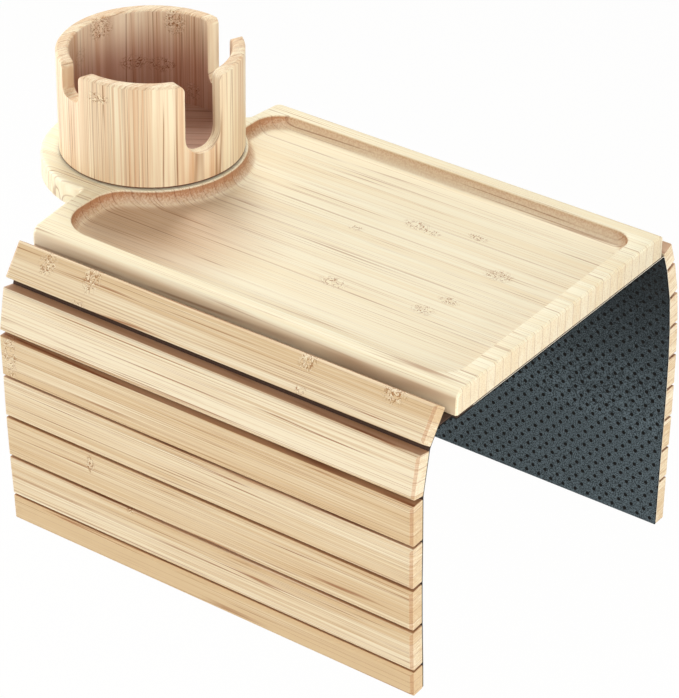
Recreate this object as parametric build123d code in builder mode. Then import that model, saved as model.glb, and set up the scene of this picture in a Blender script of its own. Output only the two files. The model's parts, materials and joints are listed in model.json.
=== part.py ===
from build123d import *
import math
import os

os.makedirs("parts", exist_ok=True)

# Sizes are in millimetres and angles in degrees.
# The origin is the middle of the underside that rests on a sofa arm, +Z is up,
# +X runs along the slats away from the cup and +Y points at the far drape.

# Tray board
tray_length = 263.0
tray_width = 188.0
board_thick = 14.0
far_left_inset = 17.2
near_flank_flare = 6.4
far_flank_flare = 3.0
near_edge_round = 5.5
end_edge_chamfer = 1.0
lobe_edge_round = 3.0
underside_chamfer = 0.6
far_corner_round = 4.5
flank_corner_round = 3.0

# Recess in the top of the board
recess_depth = 8.0
end_rim = 10.0
near_rim = 10.0
far_rim = 9.5
near_pocket_rim = 6.5
far_pocket_rim = 21.0
end_corner_round = 12.0
near_pocket_round_share = 0.474
near_pocket_sweep_share = 0.431
far_pocket_round_share = 0.567
far_pocket_sweep_share = 0.283
recess_cove = 6.5
recess_lip_chamfer = 0.5

# Cup and the round lobe that carries it
cup_radius = 50.0
cup_wall_thick = 7.0
cup_height = 58.4
cup_overhang = 5.9
cup_offset = 12.4
lobe_border = 10.0
boss_border = 1.5
cup_floor_thick = 4.0
floor_rabbet = 3.0
cup_rim_chamfer = 1.2
flank_root_share = 0.87

# Slots in the cup wall
front_slot_angle = -18.0
front_slot_width = 22.0
front_slot_depth = 42.0
rear_slot_angle = 68.0
rear_slot_width = 24.0
rear_slot_depth = 42.0
side_slot_angle = -109.0
side_slot_width = 16.0
side_slot_depth = 17.5
deep_floor_share = 0.48
side_floor_share = 0.25
slot_mouth_round = 4.5

# Pivot that the cup turns on
sleeve_radius = 4.0
sleeve_flange_radius = 8.0
sleeve_flange_thick = 1.8
bolt_radius = 2.5
bolt_head_radius = 7.5
bolt_head_thick = 1.6
bolt_length = 13.0
bolt_socket_across = 4.0
bolt_socket_depth = 1.0
head_sink = 1.9
flange_sink = 2.4
washer_radius = 22.0
washer_thick = 0.8
head_room = 0.5
running_gap = 0.05
axial_play = 0.1

# Slats and the lining that hinges them
slat_thick = 9.0
slat_gap = 1.5
slat_bevel = 1.5
slat_inner_chamfer = 0.4
lining_thick = 1.2
lining_gap = 0.3
board_gap = 0.85

# Near drape, counted from the board outwards
near_inset = 2.5
near_hinge_out = 11.15
near_first_reach = 10.4
near_pitch = 25.3
near_last_width = 15.5
near_angles = (54.3, 80.0, 92.1, 91.6, 92.8, 93.8, 93.0)

# Far drape, counted from the board outwards
far_left_step = 1.5
far_hinge_out = 2.65
far_first_reach = 11.4
far_pitch = 19.6
far_last_width = 27.4
far_angles = (68.2, 74.8, 82.6, 85.9, 88.8, 90.0, 91.0, 90.3, 90.1)

# One overrun serves every cut.
overrun = 5.0

# Places worked out from the sizes above
half_length = tray_length / 2
half_width = tray_width / 2
deck_z = lining_thick + board_thick
recess_floor_z = deck_z - recess_depth
cup_x = -half_length - cup_overhang
cup_y = cup_offset
lobe_radius = cup_radius + lobe_border
boss_radius = cup_radius + boss_border
cup_inner_radius = cup_radius - cup_wall_thick
cup_foot_z = deck_z + washer_thick + running_gap
cup_floor_top_z = cup_foot_z + cup_floor_thick
cup_rim_z = cup_foot_z + cup_height
cup_axis = (cup_x, cup_y)
near_side = -1
far_side = 1


def finish(builder, label):
    """Label a finished piece and write it."""
    builder.part.label = label
    export_step(builder.part, f"parts/{label}.step")


def corner(vertices, x, y):
    """Pick the sketch corner that lies nearest to a place."""
    return vertices.sort_by_distance((x, y, vertices[0].Z))[0]


def level_face(builder, index):
    """Pick a level face of a piece, counted from the lowest."""
    return builder.faces().filter_by(Plane.XY).sort_by(Axis.Z)[index]


# Tray board
flank_root = lobe_radius * flank_root_share
far_left_x = -half_length + far_left_inset
near_root = (-half_length - near_flank_flare, cup_y - flank_root)
far_root = (far_left_x - far_flank_flare, cup_y + flank_root)
near_joint = (near_root[0], cup_y - lobe_radius)
far_joint = (far_root[0], cup_y + math.sqrt(lobe_radius**2 - (far_root[0] - cup_x) ** 2))

near_pocket_x = -half_length + near_pocket_rim
far_pocket_x = -half_length + far_pocket_rim
end_wall_x = half_length - end_rim
near_wall_y = -half_width + near_rim
far_wall_y = half_width - far_rim
near_boss_y = cup_y - math.sqrt(boss_radius**2 - (near_pocket_x - cup_x) ** 2)
far_boss_y = cup_y + math.sqrt(boss_radius**2 - (far_pocket_x - cup_x) ** 2)
near_pocket_room = near_boss_y - near_wall_y
far_pocket_room = far_wall_y - far_boss_y

with BuildPart() as tray_board:
    with BuildSketch(Plane.XY.offset(lining_thick)) as board_outline:
        with BuildLine():
            Polyline(
                (-half_length, -half_width),
                (half_length, -half_width),
                (half_length, half_width),
                (far_left_x, half_width),
                far_root,
                near_root,
                close=True,
            )
        make_face()
        with Locations(cup_axis):
            Circle(lobe_radius)
        fillet(corner(board_outline.vertices(), far_left_x, half_width), far_corner_round)
    extrude(amount=board_thick)
    fillet(level_face(tray_board, -1).edges().sort_by(Axis.Y)[0], near_edge_round)
    with BuildSketch(Plane.XY.offset(recess_floor_z)) as recess_outline:
        with BuildLine():
            Polyline(
                (near_pocket_x, near_wall_y),
                (end_wall_x, near_wall_y),
                (end_wall_x, far_wall_y),
                (far_pocket_x, far_wall_y),
                (far_pocket_x, cup_y),
                (near_pocket_x, cup_y),
                close=True,
            )
        make_face()
        with Locations(cup_axis):
            Circle(boss_radius, mode=Mode.SUBTRACT)
        for place_x, place_y, radius in (
            (end_wall_x, near_wall_y, end_corner_round),
            (end_wall_x, far_wall_y, end_corner_round),
            (near_pocket_x, near_wall_y, near_pocket_room * near_pocket_round_share),
            (far_pocket_x, far_wall_y, far_pocket_room * far_pocket_round_share),
            (near_pocket_x, near_boss_y, near_pocket_room * near_pocket_sweep_share),
            (far_pocket_x, far_boss_y, far_pocket_room * far_pocket_sweep_share),
        ):
            fillet(corner(recess_outline.vertices(), place_x, place_y), radius)
    extrude(amount=recess_depth + overrun, mode=Mode.SUBTRACT)
    fillet(level_face(tray_board, 1).edges(), recess_cove)
    for joint in (near_joint, far_joint):
        upright = tray_board.edges().filter_by(Axis.Z).sort_by_distance((*joint, deck_z))[0]
        fillet(upright, flank_corner_round)
    deck_outline = level_face(tray_board, -1).outer_wire().edges().sort_by(Axis.X)
    chamfer(deck_outline[-1], end_edge_chamfer)
    deck_outline = level_face(tray_board, -1).outer_wire().edges().sort_by(Axis.Y)
    lobe_side = deck_outline[1:].sort_by(Axis.X)[:-1]
    fillet(lobe_side, lobe_edge_round)
    chamfer(level_face(tray_board, -1).inner_wires()[0].edges(), recess_lip_chamfer)
    chamfer(level_face(tray_board, 0).edges(), underside_chamfer)
    with Locations((cup_x, cup_y, lining_thick)):
        Cylinder(
            sleeve_radius + running_gap,
            board_thick,
            align=(Align.CENTER, Align.CENTER, Align.MIN),
            mode=Mode.SUBTRACT,
        )
        Cylinder(
            sleeve_flange_radius + head_room,
            flange_sink,
            align=(Align.CENTER, Align.CENTER, Align.MIN),
            mode=Mode.SUBTRACT,
        )

finish(tray_board, "tray_board")

# Cup wall: a turned ring, rabbeted for its floor, with three slots
floor_radius = cup_inner_radius + floor_rabbet
cup_section = Plane(origin=(cup_x, cup_y, 0), x_dir=(1, 0, 0), z_dir=(0, -1, 0))
slots = (
    (front_slot_angle, front_slot_width, front_slot_depth, deep_floor_share),
    (rear_slot_angle, rear_slot_width, rear_slot_depth, deep_floor_share),
    (side_slot_angle, side_slot_width, side_slot_depth, side_floor_share),
)

with BuildPart() as cup_wall:
    with BuildSketch(cup_section) as ring_section:
        with BuildLine():
            Polyline(
                (floor_radius, cup_foot_z),
                (cup_radius, cup_foot_z),
                (cup_radius, cup_rim_z),
                (cup_inner_radius, cup_rim_z),
                (cup_inner_radius, cup_floor_top_z),
                (floor_radius, cup_floor_top_z),
                close=True,
            )
        make_face()
        chamfer(ring_section.vertices().group_by(Axis.Y)[-1], cup_rim_chamfer)
    revolve(axis=Axis((cup_x, cup_y, 0), (0, 0, 1)))
    for angle, width, depth, floor_share in slots:
        outward = Vector(1, 0, 0).rotate(Axis.Z, angle)
        slot_plane = Plane(origin=(cup_x, cup_y, cup_rim_z), x_dir=outward.rotate(Axis.Z, 90), z_dir=outward)
        with BuildSketch(slot_plane) as slot_outline:
            Rectangle(width, depth, align=(Align.CENTER, Align.MAX))
            fillet(slot_outline.vertices().group_by(Axis.Y)[0], width * floor_share)
            mouth_width = width + (slot_mouth_round + overrun) * 2
            Rectangle(mouth_width, overrun, align=(Align.CENTER, Align.MIN))
            for mouth_x in (-width / 2, width / 2):
                fillet(corner(slot_outline.vertices(), mouth_x, 0), slot_mouth_round)
        extrude(amount=cup_radius + overrun, mode=Mode.SUBTRACT)

finish(cup_wall, "cup_wall")

# Cup floor: a disc let into the foot of the wall, counterbored for the bolt's head
with BuildPart() as cup_floor:
    with BuildSketch(Plane.XY.offset(cup_foot_z)):
        with Locations(cup_axis):
            Circle(floor_radius)
    extrude(amount=cup_floor_thick)
    with Locations((cup_x, cup_y, cup_floor_top_z)):
        CounterBoreHole(sleeve_radius + running_gap, bolt_head_radius + head_room, head_sink)

finish(cup_floor, "cup_floor")

# Pivot: a flanged sleeve from below, a low-headed bolt from above and a glide washer
sleeve_foot_z = lining_thick + flange_sink - sleeve_flange_thick
bolt_seat_z = cup_floor_top_z - head_sink + axial_play
sleeve_length = bolt_seat_z - sleeve_foot_z

with BuildPart() as pivot_sleeve:
    with BuildSketch(Plane.XY.offset(sleeve_foot_z)):
        with Locations(cup_axis):
            Circle(sleeve_flange_radius)
    extrude(amount=sleeve_flange_thick)
    with BuildSketch(Plane.XY.offset(sleeve_foot_z)):
        with Locations(cup_axis):
            Circle(sleeve_radius)
    extrude(amount=sleeve_length)
    with Locations((cup_x, cup_y, bolt_seat_z)):
        Hole(bolt_radius + running_gap, depth=bolt_length + head_room)

finish(pivot_sleeve, "pivot_sleeve")

with BuildPart() as pivot_bolt:
    with BuildSketch(Plane.XY.offset(bolt_seat_z - bolt_length)):
        with Locations(cup_axis):
            Circle(bolt_radius)
    extrude(amount=bolt_length)
    with BuildSketch(Plane.XY.offset(bolt_seat_z)):
        with Locations(cup_axis):
            Circle(bolt_head_radius)
    extrude(amount=bolt_head_thick)
    with BuildSketch(Plane.XY.offset(bolt_seat_z + bolt_head_thick)):
        with Locations(cup_axis):
            RegularPolygon(bolt_socket_across / 2, 6, major_radius=False)
    extrude(amount=-bolt_socket_depth, mode=Mode.SUBTRACT)

finish(pivot_bolt, "pivot_bolt")

with BuildPart() as glide_washer:
    with BuildSketch(Plane.XY.offset(deck_z)):
        with Locations(cup_axis):
            Circle(washer_radius)
            Circle(sleeve_radius + running_gap, mode=Mode.SUBTRACT)
    extrude(amount=washer_thick)

finish(glide_washer, "glide_washer")

# Lining under the board, out to the first hinge line on each side
near_left_x = -half_length + near_inset
near_right_x = half_length - near_inset
far_left_end_x = far_left_x + far_left_step
near_hinge_y = -half_width - near_hinge_out
far_hinge_y = half_width + far_hinge_out

with BuildPart() as lining_tray:
    with BuildSketch():
        with BuildLine():
            Polyline(
                (near_left_x, near_hinge_y + lining_gap / 2),
                (near_right_x, near_hinge_y + lining_gap / 2),
                (near_right_x, -half_width),
                (half_length, -half_width),
                (half_length, far_hinge_y - lining_gap / 2),
                (far_left_end_x, far_hinge_y - lining_gap / 2),
                close=True,
            )
        make_face()
    extrude(amount=lining_thick)

finish(lining_tray, "lining_tray")


def drape(name, side, start_x, length, hinge_y, board_reach, reaches, angles):
    """Make one drape: its slats and the lining strip bonded to each.

    Each slat turns about the inner face of the lining. A strip starts at its own
    hinge line, and only the first slat reaches back over it, towards the board.
    """
    hinge = Vector(start_x, hinge_y, 0)
    for number, (reach, angle) in enumerate(zip(reaches, angles), start=1):
        last = number == len(angles)
        along = Vector(0, side, 0).rotate(Axis.X, -side * angle)
        plane = Plane(origin=hinge, x_dir=along, z_dir=(side, 0, 0))
        slat_start = -board_reach if number == 1 else slat_gap / 2
        slat_end = reach if last else reach - slat_gap / 2
        with BuildPart() as slat:
            with BuildSketch(plane) as slat_section:
                with Locations(((slat_start + slat_end) / 2, lining_thick)):
                    Rectangle(slat_end - slat_start, slat_thick, align=(Align.CENTER, Align.MIN))
                chamfer(slat_section.vertices().group_by(Axis.Y)[0], slat_inner_chamfer)
            extrude(amount=length)
            outer_face = slat.faces().sort_by(Axis(hinge, plane.y_dir))[-1]
            chamfer(outer_face.edges(), slat_bevel)
        finish(slat, f"{name}_slat_{number}")
        strip_end = reach if last else reach - lining_gap / 2
        with BuildPart() as strip:
            with BuildSketch(plane):
                with Locations(((lining_gap / 2 + strip_end) / 2, 0)):
                    Rectangle(strip_end - lining_gap / 2, lining_thick, align=(Align.CENTER, Align.MIN))
            extrude(amount=length)
        finish(strip, f"lining_{name}_{number}")
        hinge = hinge + along * reach


near_reaches = (near_first_reach, *[near_pitch] * (len(near_angles) - 2), near_last_width)
drape(
    "near",
    near_side,
    near_right_x,
    near_right_x - near_left_x,
    near_hinge_y,
    near_hinge_out - board_gap,
    near_reaches,
    near_angles,
)

far_reaches = (far_first_reach, *[far_pitch] * (len(far_angles) - 2), far_last_width)
drape(
    "far",
    far_side,
    far_left_end_x,
    half_length - far_left_end_x,
    far_hinge_y,
    far_hinge_out - board_gap,
    far_reaches,
    far_angles,
)
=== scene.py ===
"""Bamboo sofa arm tray: finishes, the cloth lining that hinges the slats, and the studio."""

import json
import math

import bmesh
import bpy
from mathutils import Matrix, Vector


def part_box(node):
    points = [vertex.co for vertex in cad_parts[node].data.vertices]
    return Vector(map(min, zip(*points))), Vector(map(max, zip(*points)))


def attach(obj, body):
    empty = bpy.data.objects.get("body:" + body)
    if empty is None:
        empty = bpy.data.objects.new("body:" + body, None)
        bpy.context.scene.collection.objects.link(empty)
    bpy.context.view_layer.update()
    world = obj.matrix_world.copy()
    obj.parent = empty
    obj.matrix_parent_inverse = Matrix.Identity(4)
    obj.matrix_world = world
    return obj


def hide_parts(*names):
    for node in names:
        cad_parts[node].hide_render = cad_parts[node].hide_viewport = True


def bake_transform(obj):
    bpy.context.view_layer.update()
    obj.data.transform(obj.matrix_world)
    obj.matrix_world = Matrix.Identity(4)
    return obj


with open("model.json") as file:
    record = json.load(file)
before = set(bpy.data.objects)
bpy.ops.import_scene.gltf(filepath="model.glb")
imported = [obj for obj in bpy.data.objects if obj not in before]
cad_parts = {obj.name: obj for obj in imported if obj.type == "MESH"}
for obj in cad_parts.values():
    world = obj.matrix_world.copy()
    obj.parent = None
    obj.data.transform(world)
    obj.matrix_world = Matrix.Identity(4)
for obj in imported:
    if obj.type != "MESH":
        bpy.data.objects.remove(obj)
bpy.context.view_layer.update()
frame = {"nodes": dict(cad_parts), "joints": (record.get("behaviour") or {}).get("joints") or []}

bl_info = {
    "name": "Sofa arm tray",
    "version": (1, 0, 0),
    "blender": (4, 5, 0),
    "location": "View3D > Sidebar > Sofa tray",
    "description": "Finishes a bamboo sofa arm tray and sets it in a studio",
    "category": "Object",
}

MM = 0.001
WHITE = (1, 1, 1, 1)
ALONG_X, ALONG_Y, ALONG_Z = (1, 0, 0), (0, 1, 0), (0, 0, 1)

# The recess's depth, a margin less than any of its rims, and the middle of the painted shadow of
# the cup on the floor in front of its boss, where the floor is brownest.
RECESS_DEPTH = 8.0 * MM
RIM = 4.0 * MM
CUP_SHADOW_MIDDLE = (-92.0 * MM, -44.0 * MM)

# The cup's wall less a little, so that the bore's own face counts as inside, how far below the
# rim the bore's painted shade is full, and the height of the painted contact shadow at the foot.
BORE_WALL = 6.6 * MM
BORE_FADE = 34.0 * MM
FOOT_LINE = 0.6 * MM

# Edges that turn more than the first are eased, and faces that turn less than the second are one.
SHARP = math.radians(28)
PLAIN = math.radians(0.6)

# How far the strips of the cup's wall and of its floor are turned.
CUP_TURN = math.radians(-20)
CUP_FLOOR_TURN = math.radians(35)

# The lining: how far inside the board's sides its drapes begin, how far it stops short of the near
# slats' right ends, its gap to the wood, half the length of a bend, and its materials' slots.
LINING_START = 14.0 * MM
END_INSET = 0.5 * MM
WOOD_GAP = 0.02 * MM
BEND = 1.3 * MM
CLOTH, FILM, BACK = 0, 1, 2

# Soft lamps, all turned to the middle: place and size in metres, share of the power that is set,
# and colour.
LAMPS = {
    "key": ((-0.6, 0.7, 1.35), 0.55, 1.0, "#FFFDF4"),
    "fill_front": ((0.8, -1.55, 1.05), 1.2, 1.3, "#FFFBF4"),
    "fill_right": ((1.8, -0.3, 0.15), 1.0, 1.25, "#FFFBF4"),
    "fill_left": ((-1.8, -0.5, 0.15), 1.0, 1.9, "#FFFBF4"),
}

# The camera, worked out from the photograph: turn, lift and roll in degrees, distance from the
# deck's middle and shifts to the right and up in metres, lens and picture's width in pixels, and
# sensor's width.
CAMERA_ANGLES = (35.371, 31.722, 0.861)
CAMERA_DISTANCE, CAMERA_ASIDE, CAMERA_RISE = 1.5975, -0.003906, -0.06065
LENS_PIXELS, PICTURE_PIXELS = 3122.6, 679
SENSOR_MM = 36.0

# Knuckles: place, and reach along, across and through the strip, in millimetres.
BOARD_KNUCKLES = (
    ((18.0, 38.0, 7.2), (9, 5, 6)),
    ((28.0, 36.0, 7.2), (6, 3, 6)),
    ((80.0, 20.0, 7.2), (9, 6, 6)),
    ((74.0, -15.4, 7.2), (7, 4, 6)),
    ((68.5, -30.6, 7.2), (7, 5, 6)),
    ((50.0, 45.8, 7.2), (7, 3, 6)),
    ((-6.0, 16.4, 7.2), (5, 3, 6)),
    ((17.0, -35.4, 7.2), (9, 5, 6)),
    ((106.0, -105.0, 8.0), (8, 6, 7)),
)
CUP_KNUCKLES = (
    ((-133.0, -37.4, 65.0), (3.5, 8, 8)),
    ((-152.8, 52.5, 68.1), (9, 6, 9)),
    ((-179.4, 21.5, 68.7), (8, 5, 9)),
    ((-171.0, 39.0, 44.0), (5, 9, 9)),
    ((-160.0, 49.0, 42.0), (5, 9, 9)),
    ((-143.1, 55.0, 28.5), (6, 5, 9)),
    ((-186.0, 0.0, 58.0), (9, 8, 12)),
)
# How tan each slat of the near drape is, and its knuckles.
NEAR_SLATS = (
    (
        0.36,
        (
            ((-106.3, -111.1, 9.8), (6, 7, 8)),
            ((-77.8, -110.4, 10.6), (6, 9, 8)),
            ((-80.6, -119.6, -2.1), (5, 4, 8)),
            ((55.6, -109.5, 11.9), (6, 6, 8)),
            ((106.0, -108.3, 13.6), (8, 8, 8)),
            ((57.1, -118.2, -0.1), (4, 3, 8)),
        ),
    ),
    (0.03, ()),
    (0.42, (((-121.6, -125.7, -43.4), (5, 16, 8)),)),
    (0.32, ()),
    (0.42, (((-71.6, -124.1, -91.3), (3, 6, 8)),)),
    (0.38, (((-78.8, -123.3, -108.5), (4, 3, 8)), ((-47.0, -123.2, -109.5), (4, 3, 8)))),
    (0.75, ()),
)
# How tan the far drape's slats are, by turns.
FAR_TONES = (0.1, 0.15, 0.2)


def srgb(code):
    """Turn an sRGB hex value into a linear colour."""
    levels = [int(code[i : i + 2], 16) / 255 for i in (1, 3, 5)]
    return tuple(v / 12.92 if v <= 0.04045 else ((v + 0.055) / 1.055) ** 2.4 for v in levels)


def rgba(colour):
    """Give a linear colour its alpha."""
    return (*tuple(colour)[:3], 1.0)


def add(tree, kind, links=None, **settings):
    """Add a node with its settings. A link's value is a number, a colour, a node or a socket."""
    node = tree.nodes.new(kind)
    for name, value in settings.items():
        setattr(node, name, value)
    for socket, value in (links or {}).items():
        if isinstance(value, bpy.types.Node):
            value = value.outputs[0]
        if isinstance(value, bpy.types.NodeSocket):
            tree.links.new(value, node.inputs[socket])
        else:
            node.inputs[socket].default_value = value
    return node


def blank(owner):
    """Give a material or a world an empty node tree."""
    owner.use_nodes = True
    owner.node_tree.nodes.clear()
    return owner.node_tree


def away(tree, value, level):
    """How far a value is from a level, above or below it."""
    off = add(tree, "ShaderNodeMath", {0: value, 1: level}, operation="SUBTRACT")
    return add(tree, "ShaderNodeMath", {0: off}, operation="ABSOLUTE")


def squareness(tree, place, axis):
    """How squarely the surface faces an axis, from 0 to 1, on either side."""
    turned = add(
        tree, "ShaderNodeVectorMath", {0: place.outputs["Normal"], 1: axis}, operation="DOT_PRODUCT"
    )
    return add(tree, "ShaderNodeMath", {0: turned.outputs["Value"]}, operation="ABSOLUTE")


def reach_from(tree, place, x, y):
    """Level distance of the surface from an upright line."""
    spot = place.outputs["Object"]
    out = add(tree, "ShaderNodeVectorMath", {0: spot, 1: (x, y, 0)}, operation="SUBTRACT")
    out = add(tree, "ShaderNodeVectorMath", {0: out, 1: (1, 1, 0)}, operation="MULTIPLY")
    out = add(tree, "ShaderNodeVectorMath", {0: out}, operation="LENGTH")
    return out.outputs["Value"]


def colour_property(name, description, code):
    """A colour that a user may change, written as sRGB hex."""
    return bpy.props.FloatVectorProperty(
        name=name,
        description=description,
        subtype="COLOR",
        size=3,
        min=0,
        max=1,
        default=srgb(code),
    )


def length_property(name, description, millimetres):
    """A length that a user may change, written in millimetres."""
    return bpy.props.FloatProperty(
        name=name,
        description=description,
        unit="LENGTH",
        subtype="DISTANCE",
        min=0,
        default=millimetres * MM,
    )


class BambooSettings(bpy.types.PropertyGroup):
    """Sizes and colours of the bamboo."""

    strip_width: length_property("Strip width", "Width of each glued bamboo strip", 7.0)
    fibre_width: length_property("Fibre width", "Width of a fibre, drawn coarser than real", 0.8)
    line_spacing: length_property("Line spacing", "Spacing of the dark grain lines", 1.7)
    arris: length_property("Eased arris", "How far each edge is eased by sanding", 0.3)
    board_pale: colour_property("Board, pale", "Pale strips of the tray board", "#FAF6DF")
    board_tan: colour_property("Board, tan", "Darker strips of the tray board", "#EFDFBB")
    cup_pale: colour_property("Cup, pale", "Pale strips of the cup", "#FCF1D6")
    cup_tan: colour_property("Cup, tan", "Darker strips of the cup", "#DDB48C")
    slat_pale: colour_property("Slat, pale", "Pale strips of the slats", "#F6ECD3")
    slat_tan: colour_property("Slat, tan", "Darker strips of the slats", "#DBC199")
    line: colour_property("Grain line", "Thin dark lines of the grain and the glue", "#A87850")
    knuckle: colour_property("Knuckle", "Brown marks where the culm had its joints", "#A2713F")
    # Painted shade, multiplied into the board's coves, sides and ends and the slats' edges and
    # bevels.
    cove: colour_property("Routed cove", "What routed and sawn wood takes of the light", "#BC8F76")
    # Painted shade in the cup's bore, fullest towards its floor.
    bore: colour_property("Turned bore", "What the cup's shade_painted inside takes of it", "#C4A6A6")
    # Painted contact shadow: a thin dark line round the cup's foot.
    foot: colour_property("Cup's foot", "The thin line that the lathe burnt", "#6B4630")


class LiningSettings(bpy.types.PropertyGroup):
    """Sizes and colours of the cloth lining."""

    film: length_property("Glue film", "Thickness of the white film that bonds cloth to wood", 0.35)
    dot_size: length_property("Grip dot", "Diameter of a printed grip dot", 2.3)
    dot_pitch_x: length_property("Dot pitch along", "Spacing of the dots along the slats", 8.0)
    dot_pitch_y: length_property("Dot pitch across", "Spacing of the dots across the slats", 8.7)
    cloth: colour_property("Cloth", "Slate felted cloth", "#48545C")
    dot: colour_property("Dots", "Printed rubber grip dots", "#050607")
    film_colour: colour_property("Film", "White glue film seen at the cut edge", "#F4F0E4")


class StageSettings(bpy.types.PropertyGroup):
    """The studio."""

    floor_drop: length_property("Floor drop", "How far the floor lies below the lining", 460.0)
    key_power: bpy.props.FloatProperty(
        name="Key", description="Power of the soft key light", unit="POWER", default=13.4, min=0
    )
    fill_power: bpy.props.FloatProperty(
        name="Fill", description="Power of the fill lights", unit="POWER", default=13.0, min=0
    )
    sky: bpy.props.FloatProperty(
        name="Sky", description="Strength of the light from all round", default=0.28, min=0
    )


def drape_nodes(side, kind):
    """Names of a drape's nodes, counted from the board."""
    prefix = f"{side}_slat_" if kind == "slat" else f"lining_{side}_"
    names = [name for name in frame["nodes"] if name.startswith(prefix)]
    return sorted(names, key=lambda name: int(name.rsplit("_", 1)[1]))


def hinge_line(side):
    """Hinge places of a drape as (y, z), and the end of its last strip."""
    joints = [joint for joint in frame["joints"] if joint["name"].startswith(f"{side}_fold_")]
    joints.sort(key=lambda joint: int(joint["name"].rsplit("_", 1)[1]))
    places = [Vector(joint["pos_m"][1:]) for joint in joints]
    last = frame["nodes"][drape_nodes(side, "lining")[-1]]
    corners = {(round(v.co.y, 7), round(v.co.z, 7)) for v in last.data.vertices}
    corners = sorted((Vector(corner) for corner in corners), key=lambda c: (c - places[-1]).length)
    # The two farthest corners are the strip's end, and the nearer of them is on the hinges' face.
    return places + [corners[-2]]


def grain_figures(tree, layout):
    """Stretched noises for the fibres, the dark lines, their fading and the clouds of tone."""
    settings = bpy.context.scene.sofa_bamboo
    # How far each runs along, across and through a strip, and its detail.
    sizes = {
        "fibres": (120 * MM, settings.fibre_width, 6 * MM, 2.0),
        "lines": (300 * MM, settings.line_spacing, 16 * MM, 0.0),
        "fading": (60 * MM, 3 * MM, 20 * MM, 1.0),
        "clouds": (190 * MM, 14 * MM, 40 * MM, 1.0),
    }
    figures = {}
    for figure, (length, width, depth, detail) in sizes.items():
        scale = (1 / length, 1 / width, 1 / depth)
        stretched = add(tree, "ShaderNodeVectorMath", {0: layout, 1: scale}, operation="MULTIPLY")
        figures[figure] = add(
            tree,
            "ShaderNodeTexNoise",
            {"Vector": stretched, "Scale": 1.0, "Detail": detail, "Roughness": 0.6},
        )
    return figures


def grain_lines(tree, figures, facing, contrast):
    """Dark lines along the contours of a noise, so they run long, part, join and fade."""
    line = add(
        tree,
        "ShaderNodeMapRange",
        {
            "Value": away(tree, figures["lines"], 0.5),
            "From Min": 0.0,
            "From Max": 0.042,
            "To Min": 0.8 * contrast,
            "To Max": 0.0,
        },
        interpolation_type="SMOOTHSTEP",
    )
    fade = add(
        tree, "ShaderNodeMapRange", {"Value": figures["fading"], "From Min": 0.36, "From Max": 0.6}
    )
    # A cut end hardly shows them.
    sides = add(
        tree,
        "ShaderNodeMapRange",
        {"Value": facing, "From Min": 0.3, "From Max": 0.8, "To Min": 1.0, "To Max": 0.2},
    )
    for part in (fade, sides):
        line = add(tree, "ShaderNodeMath", {0: line, 1: part}, operation="MULTIPLY")
    return line


def glue_lines(tree, within, cut, contrast):
    """Thin lines where two strips meet, stronger on a cut end."""
    glue = add(
        tree,
        "ShaderNodeMapRange",
        {"Value": away(tree, within, 0.5), "From Min": 0.455, "From Max": 0.495},
        interpolation_type="SMOOTHSTEP",
    )
    weight = 0.25 * contrast
    share = add(tree, "ShaderNodeMath", {0: cut, 1: 0.3, 2: weight}, operation="MULTIPLY_ADD")
    return add(tree, "ShaderNodeMath", {0: glue, 1: share}, operation="MULTIPLY")


def knuckle_spots(tree, here, axes, knuckles):
    """Where the knuckles are: 1 inside one, and less towards its rim."""
    spots = None
    for spot, size in knuckles:
        centre = tuple(MM * Vector(spot).dot(axis) for axis in axes)
        reach = tuple(1 / (part * MM) for part in size)
        off = add(tree, "ShaderNodeVectorMath", {0: here, 1: centre}, operation="SUBTRACT")
        off = add(tree, "ShaderNodeVectorMath", {0: off, 1: reach}, operation="MULTIPLY")
        off = add(tree, "ShaderNodeVectorMath", {0: off}, operation="LENGTH")
        near = add(
            tree,
            "ShaderNodeMapRange",
            {
                "Value": off.outputs["Value"],
                "From Min": 0.55,
                "From Max": 1.1,
                "To Min": 1.0,
                "To Max": 0.0,
            },
            interpolation_type="SMOOTHSTEP",
        )
        if spots is not None:
            near = add(tree, "ShaderNodeMath", {0: spots, 1: near}, operation="MAXIMUM")
        spots = near
    return spots


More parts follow.
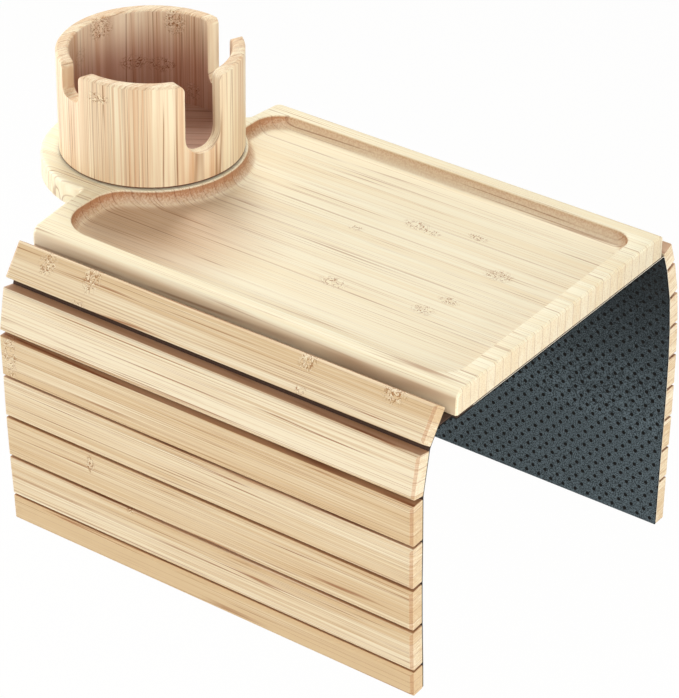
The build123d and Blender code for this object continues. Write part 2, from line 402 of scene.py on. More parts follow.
def bamboo(
    name, pale, tan, grain, across, knuckles=(), seed=0.0, tone=0.0, contrast=1.0, painted_shade=None
):
    """Strip bamboo, planed, glued and satin lacquered.

    The eye gets silky fibres, a tone for each strip, thin dark lines that fade in and out, mottled
    knuckles, glue lines and dotted end grain under a low sheen. The last argument gives the share
    and the colour of a painted shade that darkens the wood.
    """
    settings = bpy.context.scene.sofa_bamboo
    material = bpy.data.materials.new(name)
    tree = blank(material)
    place = add(tree, "ShaderNodeTexCoord")
    grain, across = Vector(grain), Vector(across)
    axes = (grain, across, grain.cross(across).normalized())
    links = [{0: place.outputs["Object"], 1: axis} for axis in axes]
    parts = [add(tree, "ShaderNodeVectorMath", link, operation="DOT_PRODUCT") for link in links]
    u, v, w = (part.outputs["Value"] for part in parts)
    facing = squareness(tree, place, grain)

    # Each strip has its own number, tone and shift along the grain.
    strips = add(
        tree,
        "ShaderNodeMath",
        {0: v, 1: 1 / settings.strip_width, 2: 100.5 + seed},
        operation="MULTIPLY_ADD",
    )
    number = add(tree, "ShaderNodeMath", {0: strips}, operation="FLOOR")
    within = add(tree, "ShaderNodeMath", {0: strips}, operation="FRACT")
    chance = add(tree, "ShaderNodeTexWhiteNoise", {"W": number}, noise_dimensions="1D")
    shift = add(tree, "ShaderNodeMath", {0: chance, 1: 3.7, 2: u}, operation="MULTIPLY_ADD")
    layout = add(tree, "ShaderNodeCombineXYZ", {0: shift, 1: v, 2: w})
    figures = grain_figures(tree, layout)

    # The level runs from 0, pale, to 1, tan. It starts lower by half of what the noises add, so
    # that its middle depends on the tone alone.
    fibres, strip, clouds = 1.9 * contrast, 0.48 * contrast, 0.7 * contrast
    level = 0.32 + tone - (fibres + strip + clouds) / 2
    for cause, weight in (
        (figures["fibres"], fibres),
        (chance, strip),
        (facing, 0.05),
        (figures["clouds"], clouds),
    ):
        level = add(
            tree, "ShaderNodeMath", {0: cause, 1: weight, 2: level}, operation="MULTIPLY_ADD"
        )
    wood = add(
        tree, "ShaderNodeMix", {"Factor": level, 6: rgba(pale), 7: rgba(tan)}, data_type="RGBA"
    )

    # Cut ends show each strip and its fibre bundles.
    cut = add(
        tree,
        "ShaderNodeMapRange",
        {"Value": facing, "From Min": 0.2, "From Max": 0.6},
        interpolation_type="SMOOTHSTEP",
    )
    line = grain_lines(tree, figures, facing, contrast)
    glue = glue_lines(tree, within, cut, contrast)
    marks = add(tree, "ShaderNodeMath", {0: line, 1: glue}, operation="MAXIMUM")
    lined = add(
        tree,
        "ShaderNodeMix",
        {"Factor": marks, 6: wood.outputs[2], 7: rgba(settings.line)},
        data_type="RGBA",
    )

    # Knuckles are clusters of short wavy strokes along a noise's contours, dark and pale by turns.
    if knuckles:
        here = add(tree, "ShaderNodeCombineXYZ", {0: u, 1: v, 2: w})
        spots = knuckle_spots(tree, here, axes, knuckles)
        flakes = add(
            tree, "ShaderNodeVectorMath", {0: here, 1: (520.0, 430.0, 500.0)}, operation="MULTIPLY"
        )
        flakes = add(
            tree,
            "ShaderNodeTexNoise",
            {"Vector": flakes, "Scale": 1.0, "Detail": 1.0, "Distortion": 0.9},
        )
        for contour, share, shade in ((0.5, 0.9, settings.knuckle), (0.58, 0.8, pale)):
            stroke = add(
                tree,
                "ShaderNodeMapRange",
                {
                    "Value": away(tree, flakes, contour),
                    "From Min": 0.015,
                    "From Max": 0.055,
                    "To Min": share,
                    "To Max": 0.0,
                },
                interpolation_type="SMOOTHSTEP",
            )
            stroke = add(tree, "ShaderNodeMath", {0: stroke, 1: spots}, operation="MULTIPLY")
            lined = add(
                tree,
                "ShaderNodeMix",
                {"Factor": stroke, 6: lined.outputs[2], 7: rgba(shade)},
                data_type="RGBA",
            )
            marks = add(tree, "ShaderNodeMath", {0: marks, 1: stroke}, operation="MAXIMUM")

    bundles = add(
        tree,
        "ShaderNodeTexVoronoi",
        {"Vector": place.outputs["Object"], "Scale": 1250.0},
        feature="F1",
    )
    bundles = add(
        tree,
        "ShaderNodeMapRange",
        {"Value": bundles, "From Min": 0.1, "From Max": 0.5, "To Min": 0.32, "To Max": 0.0},
    )
    bundles = add(tree, "ShaderNodeMath", {0: bundles, 1: cut}, operation="MULTIPLY")
    finished = add(
        tree,
        "ShaderNodeMix",
        {"Factor": bundles, 6: lined.outputs[2], 7: rgba(settings.line)},
        data_type="RGBA",
    )
    # Painted shade: the wood is multiplied by a darker colour where less light would fall.
    if painted_shade:
        share, shade = painted_shade(tree, place, facing)
        finished = add(
            tree,
            "ShaderNodeMix",
            {"Factor": share, 6: finished.outputs[2], 7: shade},
            data_type="RGBA",
            blend_type="MULTIPLY",
        )

    # The lacquer follows the fibres a little, so the sheen breaks up along them.
    rough = add(
        tree, "ShaderNodeMapRange", {"Value": figures["fibres"], "To Min": 0.42, "To Max": 0.6}
    )
    height = add(
        tree, "ShaderNodeMath", {0: marks, 1: -0.5, 2: figures["fibres"]}, operation="MULTIPLY_ADD"
    )
    bump = add(tree, "ShaderNodeBump", {"Height": height, "Strength": 0.4, "Distance": 0.12 * MM})
    shader = add(
        tree,
        "ShaderNodeBsdfPrincipled",
        {"Base Color": finished.outputs[2], "Roughness": rough, "Normal": bump, "IOR": 1.48},
    )
    add(tree, "ShaderNodeOutputMaterial", {"Surface": shader})
    return material


def painted_board_shade(tree, place, facing):
    """Painted shade on the board, partly standing for the darker end grain that a cut lays bare.

    That is on the recess's coves, most of all across the grain, a painted shadow of the cup on its
    floor in front of the boss, on the board's long sides and, a little, on its sawn ends.
    """
    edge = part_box("tray_board")[1]
    deck = edge.z
    split = add(tree, "ShaderNodeSeparateXYZ", {0: place.outputs["Object"]})
    x, z = split.outputs["X"], split.outputs["Z"]
    aside = add(tree, "ShaderNodeMath", {0: split.outputs["Y"]}, operation="ABSOLUTE")
    right = add(tree, "ShaderNodeMath", {0: x, 1: edge.x - RIM}, operation="LESS_THAN")
    left = add(tree, "ShaderNodeMath", {0: x, 1: RIM - edge.x}, operation="GREATER_THAN")
    inside = add(tree, "ShaderNodeMath", {0: aside, 1: edge.y - RIM}, operation="LESS_THAN")
    outside = add(tree, "ShaderNodeMath", {0: aside, 1: edge.y - RIM}, operation="GREATER_THAN")

    # The coves stand between the deck and the floor. Their painted shade is patchy and darker
    # towards their lip.
    wall = add(
        tree,
        "ShaderNodeMapRange",
        {
            "Value": away(tree, z, deck - RECESS_DEPTH / 2),
            "From Min": 2.6 * MM,
            "From Max": RECESS_DEPTH / 2,
            "To Min": 1.0,
            "To Max": 0.0,
        },
        interpolation_type="SMOOTHSTEP",
    )
    spot = place.outputs["Object"]
    patchy = add(tree, "ShaderNodeTexNoise", {"Vector": spot, "Scale": 900.0, "Detail": 1.0})
    patchy = add(
        tree,
        "ShaderNodeMapRange",
        {"Value": patchy, "From Min": 0.4, "From Max": 0.6, "To Min": 0.86, "To Max": 1.14},
    )
    higher = add(
        tree,
        "ShaderNodeMapRange",
        {
            "Value": z,
            "From Min": deck - RECESS_DEPTH,
            "From Max": deck,
            "To Min": 0.55,
            "To Max": 1.4,
        },
    )
    share = add(tree, "ShaderNodeMath", {0: facing, 1: 0.42, 2: 0.55}, operation="MULTIPLY_ADD")
    for part in (wall, right, left, inside, patchy, higher):
        share = add(tree, "ShaderNodeMath", {0: share, 1: part}, operation="MULTIPLY")

    # A painted shadow of the cup lies on the floor in front of the boss.
    turned = add(
        tree,
        "ShaderNodeMapRange",
        {
            "Value": reach_from(tree, place, *CUP_SHADOW_MIDDLE),
            "From Min": 12 * MM,
            "From Max": 84 * MM,
            "To Min": 0.66,
            "To Max": 0.08,
        },
        interpolation_type="SMOOTHSTEP",
    )
    sunk = add(
        tree,
        "ShaderNodeMapRange",
        {
            "Value": z,
            "From Min": deck - 7.7 * MM,
            "From Max": deck - 5.5 * MM,
            "To Min": 1.0,
            "To Max": 0.0,
        },
    )
    for part in (sunk, left, inside):
        turned = add(tree, "ShaderNodeMath", {0: turned, 1: part}, operation="MULTIPLY")

    # Painted shade on the board's long sides, and a little on its sawn ends.
    sides = add(
        tree,
        "ShaderNodeMapRange",
        {
            "Value": squareness(tree, place, ALONG_Y),
            "From Min": 0.75,
            "From Max": 1.0,
            "To Min": 0.0,
            "To Max": 0.4,
        },
    )
    sides = add(tree, "ShaderNodeMath", {0: sides, 1: outside}, operation="MULTIPLY")
    ends = add(
        tree,
        "ShaderNodeMapRange",
        {"Value": facing, "From Min": 0.9, "From Max": 1.0, "To Max": 0.16},
    )
    for part in (turned, sides, ends):
        share = add(tree, "ShaderNodeMath", {0: share, 1: part}, operation="MAXIMUM")
    return share, rgba(bpy.context.scene.sofa_bamboo.cove)


def painted_slat_shade(tree, place, facing, across):
    """Painted shade on a slat: its long edges, down the gaps, and the bevels at its ends."""
    ends = add(
        tree,
        "ShaderNodeMapRange",
        {
            "Value": away(tree, facing, 0.707),
            "From Min": 0.1,
            "From Max": 0.2,
            "To Min": 0.5,
            "To Max": 0.0,
        },
    )
    edges = squareness(tree, place, across)
    edges = add(
        tree,
        "ShaderNodeMapRange",
        {"Value": edges, "From Min": 0.8, "From Max": 0.9, "To Max": 0.75},
    )
    share = add(tree, "ShaderNodeMath", {0: ends, 1: edges}, operation="MAXIMUM")
    return share, rgba(bpy.context.scene.sofa_bamboo.cove)


def painted_bore_shade(tree, place, _facing):
    """Painted shade in the bore, most at its floor, and a painted contact shadow round the foot."""
    settings = bpy.context.scene.sofa_bamboo
    low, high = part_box("cup_wall")
    centre = (low + high) / 2
    reach = reach_from(tree, place, centre.x, centre.y)
    inner = (high.x - low.x) / 2 - BORE_WALL
    inside = add(tree, "ShaderNodeMath", {0: reach, 1: inner}, operation="LESS_THAN")
    z = add(tree, "ShaderNodeSeparateXYZ", {0: place.outputs["Object"]}).outputs["Z"]
    depth = add(
        tree,
        "ShaderNodeMapRange",
        {
            "Value": z,
            "From Min": high.z - BORE_FADE,
            "From Max": high.z,
            "To Min": 1.0,
            "To Max": 0.3,
        },
        interpolation_type="SMOOTHSTEP",
    )
    share = add(tree, "ShaderNodeMath", {0: inside, 1: depth}, operation="MULTIPLY")
    foot = add(tree, "ShaderNodeMath", {0: z, 1: low.z + FOOT_LINE}, operation="LESS_THAN")
    share = add(tree, "ShaderNodeMath", {0: share, 1: foot}, operation="MAXIMUM")
    shade = add(
        tree,
        "ShaderNodeMix",
        {"Factor": foot, 6: rgba(settings.bore), 7: rgba(settings.foot)},
        data_type="RGBA",
    )
    return share, shade.outputs[2]


def ease_edges(node, width, turned=True):
    """Ease a wooden piece's arrises, as sanding does. Routed and turned ones shade smoothly."""
    mesh = node.data
    if turned:
        mesh.shade_smooth()
        mesh.set_sharp_from_angle(angle=SHARP)
    else:
        mesh.shade_flat()
    weld = node.modifiers.new("one skin", "WELD")
    weld.merge_threshold = 0.01 * MM
    flat = node.modifiers.new("plain faces", "DECIMATE")
    flat.decimate_type = "DISSOLVE"
    flat.angle_limit = PLAIN
    bevel = node.modifiers.new("eased arris", "BEVEL")
    bevel.width = width
    bevel.segments = 2
    bevel.limit_method = "ANGLE"
    bevel.angle_limit = SHARP
    bevel.harden_normals = True


def finish_node(name, material):
    """Put one material on a carried-over piece."""
    node = frame["nodes"][name]
    node.data.materials.clear()
    node.data.materials.append(material)
    return node


class SOFATRAY_OT_board(bpy.types.Operator):
    """Finish the tray board"""

    bl_idname = "sofatray.board"
    bl_label = "Tray board"

    def execute(self, context):
        settings = context.scene.sofa_bamboo
        material = bamboo(
            "strip_bamboo_board_satin_lacquer",
            settings.board_pale,
            settings.board_tan,
            ALONG_X,
            ALONG_Y,
            knuckles=BOARD_KNUCKLES,
            seed=0.3,
            contrast=0.9,
            painted_shade=painted_board_shade,
        )
        ease_edges(finish_node("tray_board", material), settings.arris)
        return {"FINISHED"}


class SOFATRAY_OT_cup(bpy.types.Operator):
    """Finish the turned cup"""

    bl_idname = "sofatray.cup"
    bl_label = "Cup"

    def execute(self, context):
        settings = context.scene.sofa_bamboo
        material = bamboo(
            "strip_bamboo_cup_turned_satin_lacquer",
            settings.cup_pale,
            settings.cup_tan,
            ALONG_Z,
            (math.cos(CUP_TURN), math.sin(CUP_TURN), 0),
            knuckles=CUP_KNUCKLES,
            seed=3.7,
            tone=0.08,
            contrast=1.12,
            painted_shade=painted_bore_shade,
        )
        ease_edges(finish_node("cup_wall", material), settings.arris)
        floor = bamboo(
            "strip_bamboo_cup_floor_oiled",
            settings.cup_pale,
            settings.cup_tan,
            (math.cos(CUP_FLOOR_TURN), math.sin(CUP_FLOOR_TURN), 0),
            (-math.sin(CUP_FLOOR_TURN), math.cos(CUP_FLOOR_TURN), 0),
            seed=8.2,
            painted_shade=painted_bore_shade,
        )
        ease_edges(finish_node("cup_floor", floor), settings.arris)
        return {"FINISHED"}


def uneven_finish(name, scale, least, most):
    """Start a material that has a fine unevenness between two values."""
    material = bpy.data.materials.new(name)
    tree = blank(material)
    spot = add(tree, "ShaderNodeTexCoord").outputs["Object"]
    noise = add(tree, "ShaderNodeTexNoise", {"Vector": spot, "Scale": scale, "Detail": 2.0})
    amount = add(tree, "ShaderNodeMapRange", {"Value": noise, "To Min": least, "To Max": most})
    return material, tree, amount


class SOFATRAY_OT_pivot(bpy.types.Operator):
    """Finish the pivot's hardware"""

    bl_idname = "sofatray.pivot"
    bl_label = "Pivot"

    def execute(self, context):
        # Zinc-plated steel: bright, faintly blue and softly brushed.
        steel, tree, rough = uneven_finish("zinc_plated_steel_turned", 2500.0, 0.25, 0.42)
        shader = add(
            tree,
            "ShaderNodeBsdfPrincipled",
            {"Base Color": rgba(srgb("#C9CBCD")), "Metallic": 1.0, "Roughness": rough},
        )
        add(tree, "ShaderNodeOutputMaterial", {"Surface": shader})
        # Moulded nylon, stained dark: a dull thin line under the cup.
        nylon, tree, rough = uneven_finish("nylon_moulded_dark", 1800.0, 0.45, 0.6)
        shader = add(
            tree,
            "ShaderNodeBsdfPrincipled",
            {"Base Color": rgba(srgb("#17110D")), "Roughness": rough, "IOR": 1.53},
        )
        add(tree, "ShaderNodeOutputMaterial", {"Surface": shader})
        finish_node("pivot_bolt", steel)
        finish_node("pivot_sleeve", steel)
        finish_node("glide_washer", nylon)
        return {"FINISHED"}


class SOFATRAY_OT_slats(bpy.types.Operator):
    """Finish the slats of both drapes"""

    bl_idname = "sofatray.slats"
    bl_label = "Slats"

    def execute(self, context):
        settings = context.scene.sofa_bamboo
        for side in ("near", "far"):
            places = hinge_line(side)
            for index, name in enumerate(drape_nodes(side, "slat")):
                down = (places[index + 1] - places[index]).normalized()
                across = (0, down.x, down.y)
                tone, knuckles = NEAR_SLATS[index] if side == "near" else (FAR_TONES[index % 3], ())
                material = bamboo(
                    f"strip_bamboo_{name}_satin_lacquer",
                    settings.slat_pale,
                    settings.slat_tan,
                    ALONG_X,
                    across,
                    knuckles=knuckles,
                    seed=index * 5.37 + (0 if side == "near" else 41.7),
                    tone=tone,
                    contrast=1.25,
                    painted_shade=lambda tree, place, facing: painted_slat_shade(tree, place, facing, across),
                )
                ease_edges(finish_node(name, material), settings.arris, turned=False)
        return {"FINISHED"}


def grip_dots(tree, flat):
    """Round dots in staggered rows: two even grids, one shifted by half a step both ways."""
    settings = bpy.context.scene.sofa_lining
    pitch = (settings.dot_pitch_x, settings.dot_pitch_y, 0)
    steps = (1 / settings.dot_pitch_x, 1 / settings.dot_pitch_y, 0)
    dots = []
    for start in (50.0, 50.5):
        cell = add(
            tree,
            "ShaderNodeVectorMath",
            {0: flat, 1: steps, 2: (start, start, 0)},
            operation="MULTIPLY_ADD",
        )
        cell = add(tree, "ShaderNodeVectorMath", {0: cell}, operation="FRACTION")
        cell = add(tree, "ShaderNodeVectorMath", {0: cell, 1: (0.5, 0.5, 0)}, operation="SUBTRACT")
        cell = add(tree, "ShaderNodeVectorMath", {0: cell, 1: pitch}, operation="MULTIPLY")
        cell = add(tree, "ShaderNodeVectorMath", {0: cell}, operation="LENGTH")
        dot = add(
            tree,
            "ShaderNodeMapRange",
            {
                "Value": cell.outputs["Value"],
                "From Min": settings.dot_size * 0.44,
                "From Max": settings.dot_size * 0.54,
                "To Min": 1.0,
                "To Max": 0.0,
            },
            interpolation_type="SMOOTHSTEP",
        )
        dots.append(dot)
    return add(tree, "ShaderNodeMath", {0: dots[0], 1: dots[1]}, operation="MAXIMUM")


def lining_cloth():
    """Slate felt: dull, speckled, with painted shade near the board and small black grip dots."""
    settings = bpy.context.scene.sofa_lining
    material = bpy.data.materials.new("felted_cloth_slate_dotted")
    tree = blank(material)
    place = add(tree, "ShaderNodeTexCoord")
    dot = grip_dots(tree, add(tree, "ShaderNodeUVMap", uv_map="cut_cloth"))
    # Felt fibres are 0.02 mm thick, so their speckle is drawn as coarse as it needs to show.
    felt = add(
        tree,
        "ShaderNodeTexNoise",
        {"Vector": place.outputs["Object"], "Scale": 1500.0, "Detail": 1.0, "Roughness": 0.6},
    )
    speckle = add(
        tree,
        "ShaderNodeMapRange",
        {"Value": felt, "From Min": 0.36, "From Max": 0.66, "To Min": 0.25, "To Max": 2.0},
    )
    # Painted shade: the speckled cloth is darkened towards the board, where the board's shade
    # falls.
    z = add(tree, "ShaderNodeSeparateXYZ", {0: place.outputs["Object"]}).outputs["Z"]
    shade_near_board = add(
        tree,
        "ShaderNodeMapRange",
        {"Value": z, "From Min": -110 * MM, "From Max": -20 * MM, "To Min": 0.9, "To Max": 0.26},
    )
    speckle = add(tree, "ShaderNodeMath", {0: speckle, 1: shade_near_board}, operation="MULTIPLY")
    slate = tuple(settings.cloth)
    cloth = add(tree, "ShaderNodeVectorMath", {0: slate, "Scale": speckle}, operation="SCALE")
    # The cut edge, which faces along the slats, is as black as the dots.
    cut_edge = squareness(tree, place, ALONG_X)
    cut_edge = add(tree, "ShaderNodeMath", {0: cut_edge, 1: 0.9}, operation="GREATER_THAN")
    black = add(tree, "ShaderNodeMath", {0: dot, 1: cut_edge}, operation="MAXIMUM")
    colour = add(
        tree, "ShaderNodeMix", {"Factor": black, 6: cloth, 7: rgba(settings.dot)}, data_type="RGBA"
    )
    height = add(tree, "ShaderNodeMath", {0: dot, 1: 1.6, 2: felt}, operation="MULTIPLY_ADD")
    bump = add(tree, "ShaderNodeBump", {"Height": height, "Strength": 0.7, "Distance": 0.3 * MM})
    rough = add(tree, "ShaderNodeMapRange", {"Value": dot, "To Min": 0.95, "To Max": 0.8})
    shader = add(
        tree,
        "ShaderNodeBsdfPrincipled",
        {
            "Base Color": colour.outputs[2],
            "Roughness": rough,
            "Specular IOR Level": 0.1,
            "Sheen Weight": 0.05,
            "Sheen Roughness": 0.5,
            "Normal": bump,
            "IOR": 1.5,
        },
    )
    add(tree, "ShaderNodeOutputMaterial", {"Surface": shader})
    return material


def cloth_back_painted_shade():
    """The cloth's glued back, seen down the gaps: dull brown near black, as painted shade."""
    brown = srgb("#49352A")
    material, tree, shade = uneven_finish("felted_cloth_back_painted_shade", 700.0, 0.7, 1.3)
    colour = add(tree, "ShaderNodeVectorMath", {0: brown, "Scale": shade}, operation="SCALE")
    shader = add(
        tree, "ShaderNodeBsdfPrincipled", {"Base Color": colour, "Roughness": 0.85, "IOR": 1.48}
    )
    add(tree, "ShaderNodeOutputMaterial", {"Surface": shader})
    return material


def glue_film():
    """White hot-melt film between cloth and wood: a thin bright line at the cut edge."""
    white = tuple(bpy.context.scene.sofa_lining.film_colour)
    material, tree, shade = uneven_finish("hot_melt_film_white", 600.0, 0.86, 1.02)
    colour = add(tree, "ShaderNodeVectorMath", {0: white, "Scale": shade}, operation="SCALE")
    shader = add(
        tree, "ShaderNodeBsdfPrincipled", {"Base Color": colour, "Roughness": 0.6, "IOR": 1.48}
    )
    add(tree, "ShaderNodeOutputMaterial", {"Surface": shader})
    return material


def cloth_piece(name, rows, materials, thick, film, columns=14, film_shows=False):
    """Build one closed length of lining. A row is (place, outward, left, right, length so far)."""
    verts, faces, slots, flat = [], [], [], []
    layers = (0.0, thick - film, thick - WOOD_GAP)
    wide = columns + 1
    for place, outward, left, right, run in rows:
        for layer in layers:
            for column in range(wide):
                x = left + (right - left) * column / columns
                y, z = place + outward * layer
                verts.append((x, y, z))
                flat.append((x, run))

    def quad(slot, *corners):
        """Add a face, each corner given as its row, layer and column."""
        faces.append([(row * len(layers) + k) * wide + column for row, k, column in corners])
        slots.append(slot)

    last = len(rows) - 1
    end = columns
    for r in range(last):
        for c in range(columns):
            quad(CLOTH, (r, 0, c), (r + 1, 0, c), (r + 1, 0, c + 1), (r, 0, c + 1))
            quad(BACK, (r, 2, c), (r, 2, c + 1), (r + 1, 2, c + 1), (r + 1, 2, c))
        for k, slot in enumerate((CLOTH, FILM if film_shows else BACK)):
            quad(slot, (r, k, 0), (r, k + 1, 0), (r + 1, k + 1, 0), (r + 1, k, 0))
            quad(slot, (r, k, end), (r + 1, k, end), (r + 1, k + 1, end), (r, k + 1, end))
    for k in (0, 1):
        for c in range(columns):
            quad(CLOTH, (0, k, c), (0, k, c + 1), (0, k + 1, c + 1), (0, k + 1, c))
            quad(CLOTH, (last, k, c), (last, k + 1, c), (last, k + 1, c + 1), (last, k, c + 1))
    mesh = bpy.data.meshes.new(name)
    mesh.from_pydata(verts, [], faces)
    for material in materials:
        mesh.materials.append(material)
    for polygon, slot in zip(mesh.polygons, slots):
        polygon.material_index = slot
    cut_cloth = mesh.uv_layers.new(name="cut_cloth")
    for loop in mesh.loops:
        cut_cloth.data[loop.index].uv = flat[loop.vertex_index]
    mesh.validate()
    piece = bpy.data.objects.new(name, mesh)
    bpy.context.scene.collection.objects.link(piece)
    skin = bmesh.new()
    skin.from_mesh(mesh)
    bmesh.ops.recalc_face_normals(skin, faces=skin.faces)
    skin.to_mesh(mesh)
    skin.free()
    return piece


def bent_place(hinge, before, after, s):
    """Where the cloth's line is at a length s past a hinge, with the corner rounded."""
    if abs(s) >= BEND:
        return hinge + (after if s > 0 else before) * s
    t = (s / BEND + 1) / 2
    start, end = hinge - before * BEND, hinge + after * BEND
    return start * (1 - t) ** 2 + hinge * 2 * t * (1 - t) + end * t**2


def row_lengths(back, ahead, side_back=None):
    """Lengths past a hinge at which a piece of lining has its rows.

    The first piece of a drape passes the board's side, at `side_back` before its hinge. Two rows
    close together let its ends step there.
    """
    lengths = [BEND * t / 4 for t in range(-4, 5)] + [-back, ahead / 2, ahead]
    if side_back is None:
        return sorted(lengths + [-back / 2])
    near_side = [-side_back - 0.1 * MM, -side_back + 0.1 * MM]
    return sorted(lengths + near_side + [-(back + side_back) / 2, -side_back / 2])


class SOFATRAY_OT_lining(bpy.types.Operator):
    """Make the cloth lining that hinges the slats"""

    bl_idname = "sofatray.lining"
    bl_label = "Lining"

    def execute(self, context):
        film = context.scene.sofa_lining.film
        materials = (lining_cloth(), glue_film(), cloth_back_painted_shade())
        low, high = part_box("lining_tray")
        thick = high.z
        half_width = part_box("tray_board")[1].y
        inner = half_width - LINING_START
        left_near, right_near = (corner.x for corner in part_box("near_slat_1"))
        right_near -= END_INSET
        left_far, right_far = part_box("far_slat_1")[0].x, high.x

        def left_edge(y):
            """The cloth's left end under the board, which runs straight from drape to drape."""
            share = (y - low.y) / (high.y - low.y)
            return left_near + (left_far - left_near) * min(max(share, 0), 1)

        rows = []
        count = 8
        for step in range(count + 1):
            y = -inner + 2 * inner * step / count
            rows.append((Vector((y, 0)), Vector((0, 1)), left_edge(y), right_far, y))
        panel = cloth_piece(
            "lining_cloth_tray", rows, materials, thick, film, columns=20, film_shows=True
        )
        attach(panel, "tray")
        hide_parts("lining_tray")

        for side, sign in (("near", -1), ("far", 1)):
            places = hinge_line(side)
            strips = drape_nodes(side, "lining")
            lines = [Vector((sign * inner, 0))] + places
            heads = [(lines[i + 1] - lines[i]).normalized() for i in range(len(places))]
            outs = [Vector((-sign * head.y, sign * head.x)) for head in heads]
            x_left = left_near if side == "near" else left_far
            x_right = right_near if side == "near" else right_far
            run = inner
            # Each piece runs over one hinge, from the middle of one stretch to that of the next.
            for index, hinge in enumerate(places[:-1]):
                before, after = heads[index], heads[index + 1]
                first = index == 0
                final = index == len(places) - 2
                back = (hinge - lines[index]).length / (1 if first else 2)
                ahead = (places[index + 1] - hinge).length / (1 if final else 2)
                hinge_run = run + back
                side_back = hinge.x * sign - half_width if first else None
                rows = []
                for s in row_lengths(back, ahead, side_back):
                    t = min(max((s / BEND + 1) / 2, 0), 1)
                    out = (outs[index] * (1 - t) + outs[index + 1] * t).normalized()
                    place = bent_place(hinge, before, after, s)
                    left, right = x_left, x_right
                    if first and s < 0:
                        left = left_edge(place.x)
                        if side == "near" and abs(place.x) < half_width:
                            right = right_far
                    rows.append((place, out, left, right, sign * (hinge_run + s)))
                name = f"lining_cloth_{side}_{index + 1}"
                piece = cloth_piece(name, rows, materials, thick, film, film_shows=side == "far")
                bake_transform(piece)
                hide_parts(strips[index])
                run = hinge_run + ahead
        return {"FINISHED"}


def seen_rays(tree):
    """1 for what is looked at, straight or in a reflection, and 0 for what only lights the tray."""
    path = add(tree, "ShaderNodeLightPath")
    seen = path.outputs["Is Camera Ray"]
    for kind in ("Is Glossy Ray", "Is Transmission Ray"):
        seen = add(tree, "ShaderNodeMath", {0: seen, 1: path.outputs[kind]}, operation="MAXIMUM")
    return seen


def add_floor(scene, drop):
    """White studio paper far below: it looks as white as the background, with a faint shadow."""
    mesh = bpy.data.meshes.new("floor")
    half = 6.0
    corners = ((-half, -half), (half, -half), (half, half), (-half, half))
    mesh.from_pydata([(x, y, -drop) for x, y in corners], [], [(0, 1, 2, 3)])
    floor = bpy.data.objects.new("floor", mesh)
    scene.collection.objects.link(floor)
    material = bpy.data.materials.new("studio_paper_white")
    tree = blank(material)
    share = add(tree, "ShaderNodeMath", {0: seen_rays(tree), 1: 0.96}, operation="MULTIPLY")
    paper = add(tree, "ShaderNodeBsdfDiffuse", {"Color": rgba(srgb("#F6F5F1"))})
    glow = add(tree, "ShaderNodeEmission", {"Color": WHITE, "Strength": 1.0})
    both = add(tree, "ShaderNodeMixShader", {0: share, 1: paper, 2: glow})
    add(tree, "ShaderNodeOutputMaterial", {"Surface": both})
    mesh.materials.append(material)


def add_sky(scene, strength):
    """White where it is looked at, and a weak warm light from all round."""
    world = bpy.data.worlds.new("studio")
    scene.world = world
    tree = blank(world)
    seen = seen_rays(tree)
    power = add(tree, "ShaderNodeMapRange", {"Value": seen, "To Min": strength, "To Max": 1.0})
    warm = rgba(srgb("#FFF3E6"))
    colour = add(tree, "ShaderNodeMix", {"Factor": seen, 6: warm, 7: WHITE}, data_type="RGBA")
    sky = add(tree, "ShaderNodeBackground", {"Color": colour.outputs[2], "Strength": power})
    add(tree, "ShaderNodeOutputWorld", {"Surface": sky})


def add_camera(scene):
    """Set the camera where the photograph was taken from."""
    turn, lift, roll = (math.radians(angle) for angle in CAMERA_ANGLES)
    level = Vector((math.cos(turn), math.sin(turn), 0))
    facing = Vector((-math.sin(turn), math.cos(turn), 0))
    ahead = facing * math.cos(lift) - Vector((0, 0, math.sin(lift)))
    upward = level.cross(ahead)
    right = level * math.cos(roll) + upward * math.sin(roll)
    top = upward * math.cos(roll) - level * math.sin(roll)
    deck = Vector((0, 0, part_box("tray_board")[1].z))
    place = -ahead * CAMERA_DISTANCE + right * CAMERA_ASIDE + top * CAMERA_RISE + deck
    data = bpy.data.cameras.new("camera")
    data.sensor_fit = "HORIZONTAL"
    data.sensor_width = SENSOR_MM
    data.lens = LENS_PIXELS * SENSOR_MM / PICTURE_PIXELS
    camera = bpy.data.objects.new("camera", data)
    axes = Matrix((right, top, -ahead)).transposed().to_4x4()
    camera.matrix_world = Matrix.Translation(place) @ axes
    scene.collection.objects.link(camera)
    scene.camera = camera


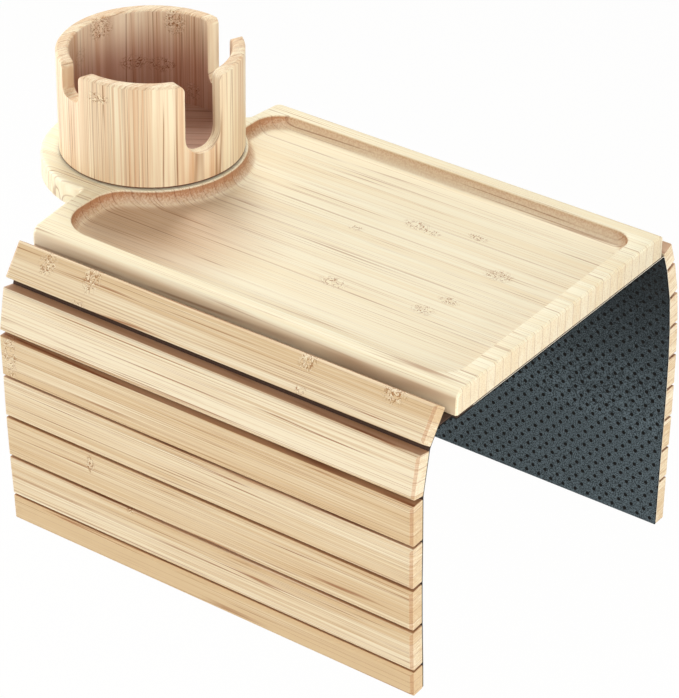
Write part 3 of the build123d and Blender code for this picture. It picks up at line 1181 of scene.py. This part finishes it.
class SOFATRAY_OT_stage(bpy.types.Operator):
    """Set the floor, the lights and the camera"""

    bl_idname = "sofatray.stage"
    bl_label = "Stage"

    def execute(self, context):
        settings = context.scene.sofa_stage
        scene = context.scene
        scene.view_settings.view_transform = "Standard"
        add_floor(scene, settings.floor_drop)
        add_sky(scene, settings.sky)
        for name, (place, size, share, colour) in LAMPS.items():
            lamp = bpy.data.lights.new(name, "AREA")
            lamp.size = size
            lamp.energy = share * (settings.key_power if name == "key" else settings.fill_power)
            lamp.color = srgb(colour)
            lit = bpy.data.objects.new(name, lamp)
            lit.location = place
            lit.rotation_euler = (-Vector(place)).to_track_quat("-Z", "Y").to_euler()
            scene.collection.objects.link(lit)
        add_camera(scene)
        return {"FINISHED"}


OPERATORS = (
    SOFATRAY_OT_board,
    SOFATRAY_OT_cup,
    SOFATRAY_OT_pivot,
    SOFATRAY_OT_slats,
    SOFATRAY_OT_lining,
    SOFATRAY_OT_stage,
)
GROUPS = (
    ("sofa_bamboo", BambooSettings),
    ("sofa_lining", LiningSettings),
    ("sofa_stage", StageSettings),
)


class SOFATRAY_PT_panel(bpy.types.Panel):
    """Sizes, colours and pieces of the sofa arm tray"""

    bl_idname = "SOFATRAY_PT_panel"
    bl_label = "Sofa arm tray"
    bl_space_type = "VIEW_3D"
    bl_region_type = "UI"
    bl_category = "Sofa tray"

    def draw(self, context):
        for attribute, group in GROUPS:
            box = self.layout.box()
            for name in group.__annotations__:
                box.prop(getattr(context.scene, attribute), name)
        for operator in OPERATORS:
            self.layout.operator(operator.bl_idname)


def register():
    for attribute, group in GROUPS:
        bpy.utils.register_class(group)
        setattr(bpy.types.Scene, attribute, bpy.props.PointerProperty(type=group))
    for operator in OPERATORS:
        bpy.utils.register_class(operator)
    bpy.utils.register_class(SOFATRAY_PT_panel)


def unregister():
    bpy.utils.unregister_class(SOFATRAY_PT_panel)
    for operator in reversed(OPERATORS):
        bpy.utils.unregister_class(operator)
    for attribute, group in reversed(GROUPS):
        delattr(bpy.types.Scene, attribute)
        bpy.utils.unregister_class(group)


def main():
    register()
    bpy.ops.sofatray.board()
    bpy.ops.sofatray.cup()
    bpy.ops.sofatray.pivot()
    bpy.ops.sofatray.slats()
    bpy.ops.sofatray.lining()
    bpy.ops.sofatray.stage()


if __name__ == "__main__":
    main()
